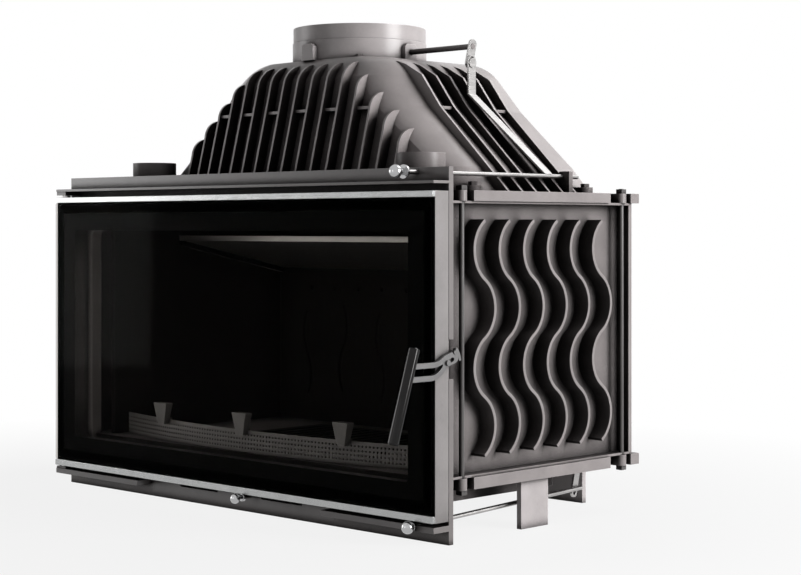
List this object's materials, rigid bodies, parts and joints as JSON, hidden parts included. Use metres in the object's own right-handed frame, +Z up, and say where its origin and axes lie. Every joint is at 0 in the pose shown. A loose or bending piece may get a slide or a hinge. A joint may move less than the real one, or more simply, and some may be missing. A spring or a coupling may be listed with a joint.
{
  "type": "fireplace insert",
  "caption": "Cast iron fireplace insert with a wide glass door on side hinges, a ribbed hood with a flue collar and damper, wavy cooling fins and sliding air controls.",
  "frame": {"origin": "middle of the front plate's foot on the floor, half way through the plate's thickness", "axes": "+X to the right seen from the front, +Y to the back, +Z up along the flue"},
  "size_m": [0.811, 0.5042, 0.694],
  "materials": {
    "body_iron": "matt heat-proof paint on cast iron",
    "front_iron": "matt heat-proof paint on cast iron",
    "door_iron": "matt heat-proof paint on a machined casting",
    "inner_iron": "raw casting, dark",
    "dark_steel": "matt black paint",
    "guard_steel": "black perforated sheet",
    "steel": "drawn bright steel",
    "polished_steel": "polished",
    "handle_steel": "satin",
    "chrome": "polished chrome plate",
    "silver_trim": "satin anodised",
    "black_glass": "ceramic glass with a black printed border",
    "rope": "woven glass fibre"
  },
  "bodies": {
    "root": {"front_plate": "front_iron", "catch_stud": "steel", "lower_front_panel": "front_iron", "air_slide_rails": "dark_steel", "bottom_plate": "body_iron", "top_plate": "body_iron", "left_side_panel": "body_iron", "right_side_panel": "body_iron", "back_plate": "body_iron", "tie_rods": "dark_steel", "tie_rod_nuts": "dark_steel", "hood": "body_iron", "hood_bolts": "dark_steel", "flue_collar": "body_iron", "collar_bolts": "dark_steel", "damper_rod_bracket": "body_iron", "left_air_spigot": "body_iron", "right_air_spigot": "body_iron", "ash_box": "dark_steel", "ash_pan": "dark_steel", "left_side_leg": "body_iron", "right_side_leg": "body_iron", "left_rear_leg": "body_iron", "right_rear_leg": "body_iron", "fireback": "inner_iron", "baffle_plate": "inner_iron", "left_liner": "inner_iron", "right_liner": "inner_iron"},
    "door": {"door_frame": "door_iron", "trim_screws": "dark_steel", "door_rope_seal": "rope", "door_trim_top": "silver_trim", "door_trim_foot": "silver_trim", "door_glass": "black_glass", "glass_gasket": "rope", "door_hinge_pins": "steel", "handle_pivot_bolt": "steel"},
    "handle": {"handle_arm": "handle_steel", "handle_grip": "polished_steel"},
    "damper_pull": {"damper_rod": "steel", "damper_knob": "chrome", "damper_link": "steel"},
    "damper": {"damper_shaft": "dark_steel", "damper_disc": "dark_steel", "damper_crank": "dark_steel", "crank_pin": "steel"},
    "air_control": {"air_slide": "dark_steel", "air_slide_knob": "chrome"},
    "lower_pull": {"lower_rod": "steel", "lower_knob": "chrome"},
    "flap": {"flap_lever": "dark_steel", "flap_shaft": "dark_steel", "air_flap": "dark_steel"},
    "grate": {"grate": "inner_iron"},
    "log_guard": {"log_guard": "guard_steel", "log_guard_posts": "inner_iron"}
  },
  "joints": [
    {"name": "door_hinge", "type": "hinge", "parent": "root", "child": "door", "pos_m": [-0.388, -0.022, 0.236], "axis": [0, 0, -1], "range_deg": [0, 110]},
    {"name": "handle_turn", "type": "hinge", "parent": "door", "child": "handle", "pos_m": [0.404, -0.014, 0.2285], "axis": [-1, 0, 0], "range_deg": [0, 40]},
    {"name": "damper_slide", "type": "slide", "parent": "root", "child": "damper_pull", "axis": [0, 1, 0], "range_m": [-0.0096, 0.0192]},
    {"name": "damper_turn", "type": "hinge", "parent": "root", "child": "damper", "pos_m": [0, 0.233, 0.6518], "axis": [1, 0, 0], "range_deg": [-24, 48]},
    {"name": "air_slide_travel", "type": "slide", "parent": "root", "child": "air_control", "axis": [1, 0, 0], "range_m": [-0.038, 0]},
    {"name": "lower_rod_slide", "type": "slide", "parent": "root", "child": "lower_pull", "axis": [0, 0.9992, 0.0401], "range_m": [-0.012, 0]},
    {"name": "flap_turn", "type": "hinge", "parent": "root", "child": "flap", "pos_m": [0.25, 0.3, 0.06], "axis": [1, 0, 0], "range_deg": [-23.1, 0]},
    {"name": "grate_lift", "type": "slide", "parent": "root", "child": "grate", "axis": [0, 0, 1], "range_m": [0, 0.05]},
    {"name": "log_guard_lift", "type": "slide", "parent": "root", "child": "log_guard", "axis": [0, 0, 1], "range_m": [0, 0.05]}
  ],
  "couplings": [
    {"joint": "damper_turn", "follows": "damper_slide", "rad_per_m": 43.6},
    {"joint": "flap_turn", "follows": "lower_rod_slide", "rad_per_m": 33.45}
  ]
}
